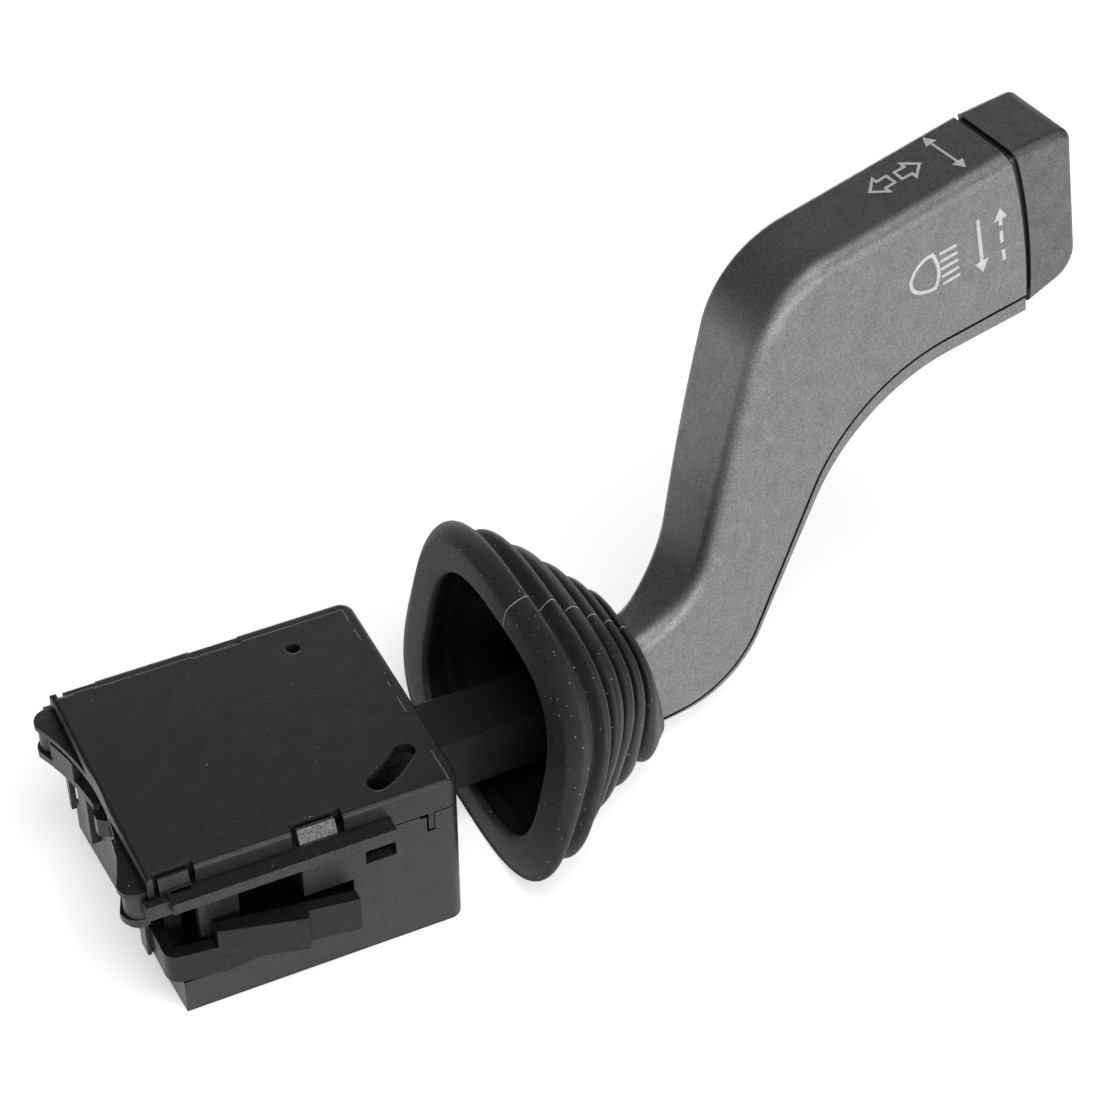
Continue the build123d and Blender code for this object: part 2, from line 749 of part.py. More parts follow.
with BuildPart() as tilt_bridges:
    for y in (-5.0, 0.0, 5.0):
        block((tilt_board[1] + 0.15, tilt_slider_x[0]), (y - 0.8, y + 0.8), (tilt_z - 2.0, tilt_z + 2.0))
tilt_bridges.part.label = "tilt_bridges"
export_step(tilt_bridges.part, "parts/tilt_bridges.step")

# Terminal blades: bent strips from the board up and over into the connector well
with BuildPart() as terminal_blades:
    for index in range(blade_count):
        x = (well_x[0] + well_x[1]) / 2 + (index - (blade_count - 1) / 2) * blade_pitch
        top = well_depth + well_wall
        span = (x - blade_width / 2, x + blade_width / 2)
        block(span, (blade_y, blade_y + blade_thickness), (2.6, top + 0.1))
        block(span, (blade_foot, blade_y + blade_thickness), (top + 0.1, top + 0.1 + blade_thickness))
        block(span, (blade_foot, blade_foot + blade_thickness), (board_top, top + 0.2))
terminal_blades.part.label = "terminal_blades"
export_step(terminal_blades.part, "parts/terminal_blades.step")

# Cancelling pawl on its pin, with a hairpin spring
with BuildPart() as pawl_pin:
    pillar(pawl_pivot_x, 0, (pawl_z[0] - 0.6, cover_under + 0.3), pawl_pin_radius - 0.02)
pawl_pin.part.label = "pawl_pin"
export_step(pawl_pin.part, "parts/pawl_pin.step")

with BuildPart() as cancel_pawl:
    with BuildSketch(Plane.XY.offset(pawl_z[0])):
        with Locations((pawl_pivot_x, 0)):
            Circle(pawl_hub_radius)
        with BuildLine():
            Polyline(
                (pawl_pivot_x, -2.6),
                (pawl_pivot_x - pawl_reach + 1.6, -pawl_half),
                (pawl_pivot_x - pawl_reach, -0.7),
                (pawl_pivot_x - pawl_reach, 0.7),
                (pawl_pivot_x - pawl_reach + 1.6, pawl_half),
                (pawl_pivot_x, 2.6),
                close=True,
            )
        make_face()
        with Locations((pawl_pivot_x + 4.0, 0)):
            Rectangle(4.4, 2.8)
    extrude(amount=pawl_z[1] - pawl_z[0])
    pillar(pawl_pivot_x, 0, (pawl_z[0] - 1, pawl_z[1] + 1), pawl_pin_radius + running, Mode.SUBTRACT)
cancel_pawl.part.label = "cancel_pawl"
export_step(cancel_pawl.part, "parts/cancel_pawl.step")

with BuildPart() as hairpin:
    loop_radius = pawl_hub_radius - 1.0
    for height in (0.7, 1.2):
        ring(loop_radius, height)
    for side in (-1, 1):
        rod((0, side * loop_radius, 0.95), (pawl_spring_reach, side * loop_radius, 0.95), wire)

with BuildPart() as pawl_spring:
    add(Location((pawl_pivot_x, 0, pawl_z[1])) * hairpin.part)
pawl_spring.part.label = "pawl_spring"
export_step(pawl_spring.part, "parts/pawl_spring.step")

# Handle plane: local x runs out along the grip, local y is up, and depth is measured backwards
yaw = radians(handle_yaw)
along_grip = (cos(yaw), sin(yaw), 0)
handle_plane = Plane(origin=(handle_x, handle_front_y, 0), x_dir=along_grip, z_dir=(sin(yaw), -cos(yaw), 0))
plan = Plane(origin=(handle_x, handle_front_y, 0), x_dir=along_grip, z_dir=(0, 0, 1))
top_line = ([(neck_start, 27.6), (13.9, 30.7), (26.9, 92.4), (76.3, 101.2)], (17.0, 20.0))
seam_line = ([(neck_start, 8.3), (22.5, 8.6), (45.7, 65.7), (83.3, 70.1)], (18.0, 34.0))
lid_line = ([(neck_start, 7.2), (23.3, 7.5), (47.0, 62.6), (83.7, 66.5)], (18.0, 34.0))
end_middle = (80.7, 85.9)
cap_corners = [(89.7, 102.2), (94.8, 71.8), (84.4, 67.6)]
cap_radii = (2.5, 6.0)
cap_edge = 1.8
spigot_start = 74.0
spigot_keep = 20.0
depth_radius = 20.0
depth_bends = ((6.0, 10.0), (21.0, handle_depth))
outline_end = end_middle[0] + 20.0
depth_points = [(neck_start - 6, neck_depth - 1.2), *depth_bends, (outline_end, handle_depth)]


def shifted(points, amount):
    """A run of points moved to its own left by an amount, with the corners kept sharp."""
    corners = [Vector(*point) for point in points]
    legs = [(after - before).normalized() for before, after in zip(corners, corners[1:])]
    left = [Vector(-leg.Y, leg.X) for leg in legs]
    moved = []
    for corner, before, after in zip(corners, [left[0]] + left, left + [left[-1]]):
        moved.append(corner + (before + after) * (amount / (1 + before.dot(after))))
    return moved


def moved(line, amount):
    """A grip line moved to its left, with the radii that keep its bends concentric."""
    return (shifted(line[0], amount), (line[1][0] - amount, line[1][1] + amount))


def grip(top, low, depth, lead=0.0, reach=0.0, middle=None):
    """A slab between two S-shaped lines, from one depth to another, run on at its near and far ends."""
    with BuildSketch(handle_plane.offset(-depth[0])) as profile:
        with BuildLine():
            upper = FilletPolyline(*top[0], radius=top[1])
            lower = FilletPolyline(*low[0], radius=low[1])
            far_top = upper @ 1 + (upper % 1) * reach
            far_low = lower @ 1 + (lower % 1) * reach
            near_top = upper @ 0 - (upper % 0) * lead
            near_low = lower @ 0 - (lower % 0) * lead
            if lead:
                Line(near_top, upper @ 0)
                Line(near_low, lower @ 0)
            if reach:
                Line(upper @ 1, far_top)
                Line(lower @ 1, far_low)
            if middle:
                ThreePointArc(far_top, middle, far_low)
            else:
                Line(far_top, far_low)
            Line(near_top, near_low)
        make_face()
    extrude(profile.sketch, amount=depth[0] - depth[1])


with BuildLine() as ridge_line:
    FilletPolyline(*top_line[0], radius=top_line[1])


def ridge_edges(part, shallow, deep):
    """The part's edges that follow the grip's top line between two depths."""
    found = ShapeList()
    for edge in part.edges():
        spots = [handle_plane.to_local_coords(edge @ t) for t in (0.1, 0.5, 0.9)]
        on_line = all(ridge_line.line.distance_to(Vector(spot.X, spot.Y)) < 0.02 for spot in spots)
        if on_line and all(shallow - 0.01 < -spot.Z < deep + 0.01 for spot in spots):
            found.append(edge)
    return found


def narrow(inset, mode=Mode.INTERSECT):
    """Keep what lies inside the grip's outline seen from above, less an inset all round."""
    with BuildSketch(plan.offset(-5)) as outline:
        with BuildLine():
            back = FilletPolyline(*shifted(depth_points, -inset), radius=depth_radius)
            Polyline(back @ 1, (outline_end, inset), ((back @ 0).X, inset), back @ 0)
        make_face()
    extrude(outline.sketch, amount=120, mode=mode)


# Lever arm: hub in the carrier, tail with a ball, tapered bar and a tongue inside the handle
with BuildPart() as lever_arm:
    hub_half = carrier_half - cheek - hub_clearance
    block(hub_x, (-hub_half, hub_half), (tilt_z - hub_height / 2, tilt_z + hub_height / 2))
    fillet(lever_arm.edges().filter_by(Axis.Y), 1.2)
    with BuildSketch(Plane.XY.offset(arm_z[0])):
        with BuildLine():
            Polyline(
                (hub_x[1] - 2, -arm_half_start),
                (arm_end, -arm_half_end),
                (arm_end, arm_half_end),
                (hub_x[1] - 2, arm_half_start),
                close=True,
            )
        make_face()
    extrude(amount=arm_z[1] - arm_z[0])
    rod((-tail_radius, 0, tilt_z), (hub_x[0] + 1, 0, tilt_z), ball_radius - 0.5)
    with Locations((-tail_radius, 0, tilt_z)):
        Sphere(ball_radius)
    with BuildSketch(handle_plane.offset(-tongue_depth[0])):
        with Locations(((tongue_reach + arm_end - handle_x - 2) / 2, tongue_height)):
            Rectangle(tongue_reach - arm_end + handle_x + 2, tongue_width)
    extrude(amount=tongue_depth[0] - tongue_depth[1])
    with BuildSketch(handle_plane.offset(-tongue_depth[0])):
        with Locations(pin_spot):
            Circle(fixing_radius)
    extrude(amount=tongue_depth[0] - tongue_depth[1], mode=Mode.SUBTRACT)
    rod((0, -hub_half - 1, tilt_z), (0, hub_half + 1, tilt_z), pin_radius + running, Mode.SUBTRACT)
    rod(
        (hub_x[0] - 1, tilt_plunger_y, tilt_z),
        (tilt_nose + tilt_plunger_length + spring_length, tilt_plunger_y, tilt_z),
        plunger_radius + running,
        Mode.SUBTRACT,
    )
lever_arm.part.label = "lever_arm"
export_step(lever_arm.part, "parts/lever_arm.step")

# Hollow of the grip: one tool for the channel and a shallower one that leaves its cross ribs
with BuildPart() as hollow:
    grip(moved(top_line, -shell), moved(seam_line, -4.0), (shell, handle_depth), 4.0, 20.0)
    narrow(shell)

with BuildPart() as ribs:
    for spot, height, turn in rib_spots:
        with BuildSketch(handle_plane.offset(-shell + 0.2)) as rib:
            with Locations((spot, height)):
                Rectangle(rib_length, rib_thickness, rotation=turn)
        extrude(rib.sketch, amount=2 * shell - handle_depth - 0.4)
    add(hollow.part, mode=Mode.INTERSECT)

# Front shell: a channel with the grey face, the ridge and the back, open along its lower side
with BuildPart() as handle_front_shell:
    grip(top_line, seam_line, (0, handle_depth), middle=end_middle)
    narrow(0)
    fillet(ridge_edges(handle_front_shell, 0, 0), ridge_radius)
    fillet(ridge_edges(handle_front_shell, neck_depth - 1, handle_depth), back_radius)
    add(hollow.part, mode=Mode.SUBTRACT)
    add(ribs.part)
    with BuildSketch(handle_plane.offset(-handle_depth)):
        with Locations(pin_spot):
            Circle(fixing_radius + 0.02)
    extrude(amount=handle_depth - shell - 2, mode=Mode.SUBTRACT)
handle_front_shell.part.label = "handle_front_shell"
export_step(handle_front_shell.part, "parts/handle_front_shell.step")

# Rear shell: a narrow strip that closes the channel, with a rim that locates inside it
rim_inset = shell + fit
with BuildPart() as rim_hollow:
    grip(
        moved(seam_line, lid_rim_height + 1),
        moved(seam_line, 0.9),
        (rim_inset + lid_rim, handle_depth),
        3.0,
        3.0,
    )
    narrow(rim_inset + lid_rim)

with BuildPart() as lid_rim_band:
    grip(moved(seam_line, lid_rim_height), moved(seam_line, -lid_gap - 0.4), (rim_inset, handle_depth))
    narrow(rim_inset)
    add(rim_hollow.part, mode=Mode.SUBTRACT)

with BuildPart() as handle_rear_shell:
    grip(moved(seam_line, -lid_gap), lid_line, (lid_recess, handle_depth))
    narrow(lid_recess)
    add(lid_rim_band.part)
handle_rear_shell.part.label = "handle_rear_shell"
export_step(handle_rear_shell.part, "parts/handle_rear_shell.step")

# End cap: a block across the grip's end behind a dark groove, with a spigot in the channel
with BuildPart() as spigot:
    grip(
        moved(top_line, -rim_inset),
        moved(seam_line, lid_rim_height + 0.5),
        (rim_inset, handle_depth),
        reach=6.0,
    )
    narrow(rim_inset)
    with BuildSketch(handle_plane) as keep:
        with Locations((spigot_start + spigot_keep / 2, end_middle[1])):
            Rectangle(spigot_keep, 3 * spigot_keep)
    extrude(keep.sketch, amount=-handle_depth, mode=Mode.INTERSECT)

cap_start = Vector(*top_line[0][-1]) + Vector(groove, groove * 0.18)
cap_middle = Vector(*end_middle) + Vector(groove, 0)

with BuildPart() as collar:
    grip(
        moved(top_line, -groove_depth),
        moved(seam_line, groove_depth),
        (groove_depth, handle_depth - groove_depth),
        reach=3.0,
    )
    with BuildSketch(handle_plane) as band:
        with BuildLine():
            near = ThreePointArc(
                Vector(*top_line[0][-1]) + Vector(fit, 0),
                Vector(*end_middle) + Vector(fit, 0),
                Vector(*seam_line[0][-1]) + Vector(fit, 0),
            )
            far = ThreePointArc(cap_start, cap_middle, cap_corners[-1])
            Line(near @ 0, far @ 0)
            Line(near @ 1, far @ 1)
        make_face()
    extrude(band.sketch, amount=-handle_depth, mode=Mode.INTERSECT)

with BuildPart() as end_cap:
    with BuildSketch(handle_plane):
        with BuildLine():
            outer = FilletPolyline(cap_start, *cap_corners, radius=cap_radii)
            ThreePointArc(outer @ 1, cap_middle, outer @ 0)
        make_face()
    extrude(amount=-handle_depth)
    front = end_cap.faces().sort_by_distance(handle_plane.from_local_coords((85, 86)))[0]
    fillet(front.edges().sort_by(Axis.X)[1:], cap_edge)
    back = end_cap.faces().sort_by_distance(handle_plane.from_local_coords((85, 86, -handle_depth)))[0]
    fillet(back.edges().sort_by(Axis.X)[1:], back_radius)
    add(spigot.part)
    add(collar.part)
end_cap.part.label = "end_cap"
export_step(end_cap.part, "parts/end_cap.step")

with BuildPart() as handle_pin:
    with BuildSketch(handle_plane.offset(-neck_depth)):
        with Locations(pin_spot):
            Circle(fixing_radius - 0.02)
    extrude(amount=neck_depth - tongue_depth[0] - 0.3)
handle_pin.part.label = "handle_pin"
export_step(handle_pin.part, "parts/handle_pin.step")


# Rubber boot: a broad oval lip, five folds that narrow towards the grip, and a tight end
def oval(x, z, lean, half_y, half_z, power=oval_power):
    """A superellipse on a plane that leans towards +X at its top."""
    tilt = radians(lean)
    frame = Plane(origin=(x, boot_y, z), x_dir=(0, 1, 0), z_dir=(cos(tilt), 0, -sin(tilt)))
    spots = []
    for step in range(oval_points):
        turn = 2 * pi * step / oval_points
        across = abs(cos(turn)) ** (2 / power) * copysign(half_y, cos(turn))
        up = abs(sin(turn)) ** (2 / power) * copysign(half_z, sin(turn))
        spots.append((across, up))
    with BuildSketch(frame) as ring:
        with BuildLine():
            Spline(*spots, periodic=True)
        make_face()
    return ring.sketch


def boot_profile(inset):
    """The boot's rings from the first valley to the last fold, drawn in by a wall's thickness."""
    rings = []
    for before, crest in zip((boot_back,) + boot_folds, boot_folds):
        x, z, lean, half_y, half_z = [(low + high) / 2 for low, high in zip(before, crest)]
        cut = fold_depth + inset
        rings.append(oval(x, z, lean, half_y - cut, half_z - cut))
        x, z, lean, half_y, half_z = crest
        rings.append(oval(x, z, lean, half_y - inset, half_z - inset))
    return rings


with BuildPart() as boot_outside:
    lip = [oval(*ring, lip_power) for ring in (boot_face, boot_rim, boot_back)]
    loft(lip + boot_profile(0.0) + [oval(*boot_tip)], ruled=True)

with BuildPart() as boot_inside:
    x, z, lean = boot_face[:3]
    mouth = [
        oval(x - 1, z, lean, *boot_mouth, mouth_power),
        oval(x + lip_thickness, z, lean, boot_mouth[0] + 1, boot_mouth[1] + 1, mouth_power),
    ]
    loft(mouth + boot_profile(boot_wall), ruled=True)

with BuildPart() as neck_hole:
    grip(moved(top_line, neck_fit), moved(lid_line, -neck_fit), (-neck_fit, handle_depth), lead=3.0)
    narrow(-neck_fit)

with BuildPart() as rubber_boot:
    add(boot_outside.part)
    add(boot_inside.part, mode=Mode.SUBTRACT)
    add(neck_hole.part, mode=Mode.SUBTRACT)
rubber_boot.part.label = "rubber_boot"
export_step(rubber_boot.part, "parts/rubber_boot.step")
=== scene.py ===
# %% [markdown]
# A steering column stalk switch: a boxy housing that slides into the column, a rubber boot and an
# S-shaped grip. The imported CAD model gives every rigid piece its shape and place. This script gives
# each one its finish, and models anew what moulded rubber and print do better as a mesh.

# %% Load the imported frame
import json
from math import cos, radians, sin

import bpy
from mathutils import Matrix, Vector


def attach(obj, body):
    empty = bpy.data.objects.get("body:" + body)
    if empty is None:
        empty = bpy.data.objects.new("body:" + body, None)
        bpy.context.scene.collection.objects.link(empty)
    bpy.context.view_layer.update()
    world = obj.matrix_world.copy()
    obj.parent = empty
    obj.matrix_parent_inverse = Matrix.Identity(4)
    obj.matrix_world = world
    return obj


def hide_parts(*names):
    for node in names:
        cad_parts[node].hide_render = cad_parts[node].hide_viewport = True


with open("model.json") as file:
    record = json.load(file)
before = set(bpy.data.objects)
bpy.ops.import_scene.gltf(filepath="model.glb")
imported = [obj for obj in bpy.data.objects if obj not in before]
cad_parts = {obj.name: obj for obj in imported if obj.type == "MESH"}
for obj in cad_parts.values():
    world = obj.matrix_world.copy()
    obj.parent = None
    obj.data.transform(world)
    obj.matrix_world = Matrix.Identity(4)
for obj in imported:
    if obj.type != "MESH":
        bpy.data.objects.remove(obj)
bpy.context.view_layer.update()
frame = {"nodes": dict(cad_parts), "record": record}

nodes = frame["nodes"]
bpy.ops.object.select_all(action="DESELECT")

# %% [markdown]
# The camera was solved from the corners of the housing, so it stands where the photographer's did.
# Its three directions are written as columns, and the lens is a long one, as for a catalogue.

# %% Camera
camera_data = bpy.data.cameras.new("catalogue_camera")
camera_data.lens = 103.78
camera_data.sensor_width = 36.0
camera = bpy.data.objects.new("catalogue_camera", camera_data)
bpy.context.scene.collection.objects.link(camera)
right = Vector((0.903412, -0.428714, -0.007170))
up = Vector((0.287553, 0.593376, 0.751810))
back = -Vector((0.318057, 0.681256, -0.659341))
place = Vector((-0.120539, -0.365347, 0.404754))
camera.matrix_world = Matrix.Translation(place) @ Matrix((right, up, back)).transposed().to_4x4()
bpy.context.scene.camera = camera
print("camera at", tuple(round(value, 4) for value in camera.location))

# %% [markdown]
# The switch lies on a sheet of white paper. The paper adds its own white only for the camera, for
# reflections and through clear pieces, so it reads as white and still keeps the object's shadow.

# %% Floor
floor_glow = 0.5
bpy.ops.mesh.primitive_plane_add(size=6.0, location=(0.05, 0.0, -0.0002))
floor = bpy.context.object
floor.name = "studio_floor"
paper = bpy.data.materials.new("white_paper")
paper.use_nodes = True
paper_tree = paper.node_tree
paper_shader = paper_tree.nodes["Principled BSDF"]
paper_shader.inputs["Base Color"].default_value = (0.93, 0.93, 0.93, 1.0)
paper_shader.inputs["Roughness"].default_value = 0.9
paper_shader.inputs["Specular IOR Level"].default_value = 0.0
paper_shader.inputs["Emission Color"].default_value = (1.0, 1.0, 1.0, 1.0)
rays = paper_tree.nodes.new("ShaderNodeLightPath")
direct = paper_tree.nodes.new("ShaderNodeMath")
direct.operation = "MAXIMUM"
seen = paper_tree.nodes.new("ShaderNodeMath")
seen.operation = "MAXIMUM"
glow = paper_tree.nodes.new("ShaderNodeMath")
glow.operation = "MULTIPLY"
glow.inputs[1].default_value = floor_glow
paper_tree.links.new(rays.outputs["Is Camera Ray"], direct.inputs[0])
paper_tree.links.new(rays.outputs["Is Glossy Ray"], direct.inputs[1])
paper_tree.links.new(direct.outputs[0], seen.inputs[0])
paper_tree.links.new(rays.outputs["Is Transmission Ray"], seen.inputs[1])
paper_tree.links.new(seen.outputs[0], glow.inputs[0])
paper_tree.links.new(glow.outputs[0], paper_shader.inputs["Emission Strength"])
floor.data.materials.append(paper)
print("floor", floor.name, "with a glow of", floor_glow)


# %% [markdown]
# The photograph is lit from low down: walls that face the camera are bright, and top faces stay
# dark. So the key is a wide lamp low in front. A weaker square lamp overhead lifts the top faces out
# of black, a low strip behind lights the far sides, and a dim room fills what is left.

# %% Lamps and world
def softbox(name, location, aim, width, height, power):
    """A rectangular area lamp at a place, turned towards a point."""
    data = bpy.data.lights.new(name, "AREA")
    data.shape = "RECTANGLE"
    data.size = width
    data.size_y = height
    data.energy = power
    lamp = bpy.data.objects.new(name, data)
    bpy.context.scene.collection.objects.link(lamp)
    lamp.location = location
    lamp.rotation_euler = (Vector(aim) - Vector(location)).to_track_quat("-Z", "Y").to_euler()
    return lamp


softbox("key", (0.1, -1.4, 0.35), (0.05, 0.0, 0.04), 1.8, 0.6, 16.0)
softbox("overhead", (0.05, -0.55, 1.2), (0.05, 0.0, 0.0), 0.9, 0.9, 10.0)
softbox("far_side", (0.45, 1.25, 0.2), (0.05, 0.0, 0.05), 1.0, 0.26, 8.0)

world = bpy.data.worlds.new("dim_room")
world.use_nodes = True
world.node_tree.nodes["Background"].inputs["Color"].default_value = (1.0, 1.0, 1.0, 1.0)
world.node_tree.nodes["Background"].inputs["Strength"].default_value = 0.07
bpy.context.scene.world = world
bpy.context.scene.view_settings.view_transform = "Standard"
print("lamps", [light.name for light in bpy.data.lights])


# %% [markdown]
# Five effects are shared by the finishes: mould grain, dust specks, painted seam shade, a parting
# flash with a painted highlight and a painted edge highlight. Each is a node group of its own, so one
# change to it reaches every finish. Two helpers build them: one opens a group with its sockets, and
# the other adds a sum to it.

# %% Helpers for the shared effects
mm = 0.001


def effect(name, inputs, outputs):
    """A new shader node group with its sockets, and its input and output nodes."""
    group = bpy.data.node_groups.new(name, "ShaderNodeTree")
    for label, default in inputs:
        socket = group.interface.new_socket(
            label, in_out="INPUT", socket_type="NodeSocketFloat"
        )
        socket.default_value = default
    for label, kind in outputs:
        group.interface.new_socket(label, in_out="OUTPUT", socket_type=kind)
    entry = group.nodes.new("NodeGroupInput")
    leave = group.nodes.new("NodeGroupOutput")
    return group, entry, leave


def math_node(tree, operation, first, second):
    """A math node whose two inputs are sockets or plain numbers."""
    node = tree.nodes.new("ShaderNodeMath")
    node.operation = operation
    for socket, value in zip(node.inputs, (first, second)):
        if isinstance(value, (int, float)):
            socket.default_value = value
        else:
            tree.links.new(value, socket)
    return node.outputs[0]


# %% [markdown]
# Mould grain is the fine texture that spark erosion leaves in a mould, and so on what comes out of
# it. Fine noise gives its height and its light and dark points, and coarser noise mottles them.

# %% Mould grain
blotch_share = 0.12
mottle_gain = 0.5
mottle_floor = 0.75
grain, entry, leave = effect(
    "mould_grain",
    [("Scale", 3000.0), ("Contrast", 0.3)],
    [("Height", "NodeSocketFloat"), ("Shade", "NodeSocketFloat")],
)
place_on = grain.nodes.new("ShaderNodeTexCoord")
noise = grain.nodes.new("ShaderNodeTexNoise")
noise.inputs["Detail"].default_value = 3.0
spread = grain.nodes.new("ShaderNodeMapRange")
spread.inputs["From Min"].default_value = 0.3
spread.inputs["From Max"].default_value = 0.7
spread.inputs["To Max"].default_value = 1.0
grain.links.new(place_on.outputs["Object"], noise.inputs["Vector"])
grain.links.new(entry.outputs["Scale"], noise.inputs["Scale"])
grain.links.new(noise.outputs["Fac"], spread.inputs["Value"])
darkest = math_node(grain, "SUBTRACT", 1.0, entry.outputs["Contrast"])
grain.links.new(darkest, spread.inputs["To Min"])
blotch = grain.nodes.new("ShaderNodeTexNoise")
blotch.inputs["Detail"].default_value = 2.0
grain.links.new(place_on.outputs["Object"], blotch.inputs["Vector"])
coarse_scale = math_node(grain, "MULTIPLY", entry.outputs["Scale"], blotch_share)
grain.links.new(coarse_scale, blotch.inputs["Scale"])
mottle = math_node(grain, "MULTIPLY_ADD", blotch.outputs["Fac"], mottle_gain)
mottle.node.inputs[2].default_value = mottle_floor
grain.links.new(noise.outputs["Fac"], leave.inputs["Height"])
shade = math_node(grain, "MULTIPLY", spread.outputs["Result"], mottle)
grain.links.new(shade, leave.inputs["Shade"])
print("effect", grain.name)

# %% [markdown]
# Dust specks are the faint light points that dark plastic and rubber pick up. The surface is split
# into small cells. A few of them hold one speck each, and every speck has a size of its own.

# %% Dust specks
dust, entry, leave = effect(
    "dust_specks",
    [("Scale", 1200.0), ("Amount", 0.12), ("Rarity", 0.6)],
    [("Mask", "NodeSocketFloat")],
)
place_on = dust.nodes.new("ShaderNodeTexCoord")
cells = dust.nodes.new("ShaderNodeTexVoronoi")
dust.links.new(place_on.outputs["Object"], cells.inputs["Vector"])
dust.links.new(entry.outputs["Scale"], cells.inputs["Scale"])
chance = dust.nodes.new("ShaderNodeSeparateColor")
dust.links.new(cells.outputs["Color"], chance.inputs["Color"])
size = math_node(dust, "MULTIPLY", entry.outputs["Amount"], chance.outputs["Red"])
near = math_node(dust, "LESS_THAN", cells.outputs["Distance"], size)
rare = math_node(dust, "GREATER_THAN", chance.outputs["Green"], entry.outputs["Rarity"])
dust.links.new(math_node(dust, "MULTIPLY", near, rare), leave.inputs["Mask"])
print("effect", dust.name)

# %% [markdown]
# Painted seam shade darkens the faces that lie deep in seams and recesses. It measures how much of
# the room a point can see within a short reach, and the less it sees, the more shade is painted
# there.

# %% Painted seam shade
painted_seam_shade, entry, leave = effect("painted_seam_shade", [("Reach", 0.002)], [("Mask", "NodeSocketFloat")])
occlusion = painted_seam_shade.nodes.new("ShaderNodeAmbientOcclusion")
occlusion.samples = 6
painted_seam_shade.links.new(entry.outputs["Reach"], occlusion.inputs["Distance"])
level = painted_seam_shade.nodes.new("ShaderNodeMapRange")
level.inputs["From Min"].default_value = 0.3
level.inputs["From Max"].default_value = 0.8
painted_seam_shade.links.new(occlusion.outputs["AO"], level.inputs["Value"])
painted_seam_shade.links.new(level.outputs["Result"], leave.inputs["Mask"])
print("effect", painted_seam_shade.name)

# %% [markdown]
# Parting flash runs along the top of the boot, where the halves of its mould close, and its thin pale
# line is a painted highlight of the ridge it makes. It lies in one plane that runs with the stalk, so
# everything close to that plane is marked.

# %% Parting flash highlight
flash_y = -2.0
flash_bottom = 20.0
flash_highlight, entry, leave = effect(
    "parting_flash_highlight", [("Half width", 0.0001)], [("Mask", "NodeSocketFloat")]
)
place_on = flash_highlight.nodes.new("ShaderNodeTexCoord")
axes = flash_highlight.nodes.new("ShaderNodeSeparateXYZ")
flash_highlight.links.new(place_on.outputs["Object"], axes.inputs["Vector"])
offset = math_node(flash_highlight, "SUBTRACT", axes.outputs["Y"], flash_y * mm)
aside = math_node(flash_highlight, "ABSOLUTE", offset, 0.0)
on_seam = math_node(flash_highlight, "LESS_THAN", aside, entry.outputs["Half width"])
above = math_node(flash_highlight, "GREATER_THAN", axes.outputs["Z"], flash_bottom * mm)
flash_highlight.links.new(math_node(flash_highlight, "MULTIPLY", on_seam, above), leave.inputs["Mask"])
print("effect", flash_highlight.name)

# %% [markdown]
# The painted edge highlight is a fine pale line that runs inside two edges of the cover, where their
# rounding starts and catches the light. It follows the larger of two distances, so it turns a sharp
# corner, and noise breaks it into pieces.

# %% Painted edge highlight
border_right = 19.5
border_back = 22.0
cover_top = 32.8
break_scale = 140.0
break_limit = 0.38
edge_highlight, entry, leave = effect(
    "painted_edge_highlight", [("Half width", 0.00009)], [("Mask", "NodeSocketFloat")]
)
place_on = edge_highlight.nodes.new("ShaderNodeTexCoord")
axes = edge_highlight.nodes.new("ShaderNodeSeparateXYZ")
edge_highlight.links.new(place_on.outputs["Object"], axes.inputs["Vector"])
past_right = math_node(edge_highlight, "SUBTRACT", axes.outputs["X"], border_right * mm)
past_back = math_node(edge_highlight, "SUBTRACT", axes.outputs["Y"], border_back * mm)
outermost = math_node(edge_highlight, "MAXIMUM", past_right, past_back)
aside = math_node(edge_highlight, "ABSOLUTE", outermost, 0.0)
on_line = math_node(edge_highlight, "LESS_THAN", aside, entry.outputs["Half width"])
on_top_face = math_node(edge_highlight, "GREATER_THAN", axes.outputs["Z"], cover_top * mm)
breaks = edge_highlight.nodes.new("ShaderNodeTexNoise")
breaks.inputs["Scale"].default_value = break_scale
edge_highlight.links.new(place_on.outputs["Object"], breaks.inputs["Vector"])
whole = math_node(edge_highlight, "GREATER_THAN", breaks.outputs["Fac"], break_limit)
stroke = math_node(edge_highlight, "MULTIPLY", on_line, whole)
edge_highlight.links.new(math_node(edge_highlight, "MULTIPLY", stroke, on_top_face), leave.inputs["Mask"])
print("effects", [group.name for group in bpy.data.node_groups])


# %% [markdown]
# A moulded finish is one colour shaded by grain and dusted, with the grain again as relief. A coat
# whose weight follows the grain gives the uneven gloss of a sparked mould or of soft paint. Painted
# shade darkens the colour and thins the coat where a face lies deep in a seam or recess. A pale line
# can be painted on top as a highlight, and sharp edges are softened as a moulded edge is.

# %% How a moulded finish is made
dust_tone = (0.45, 0.45, 0.44, 1.0)
# The near black of the painted shade in seams.
seam_shade_tone = (0.001, 0.001, 0.001, 1.0)
grain_depth = 0.04


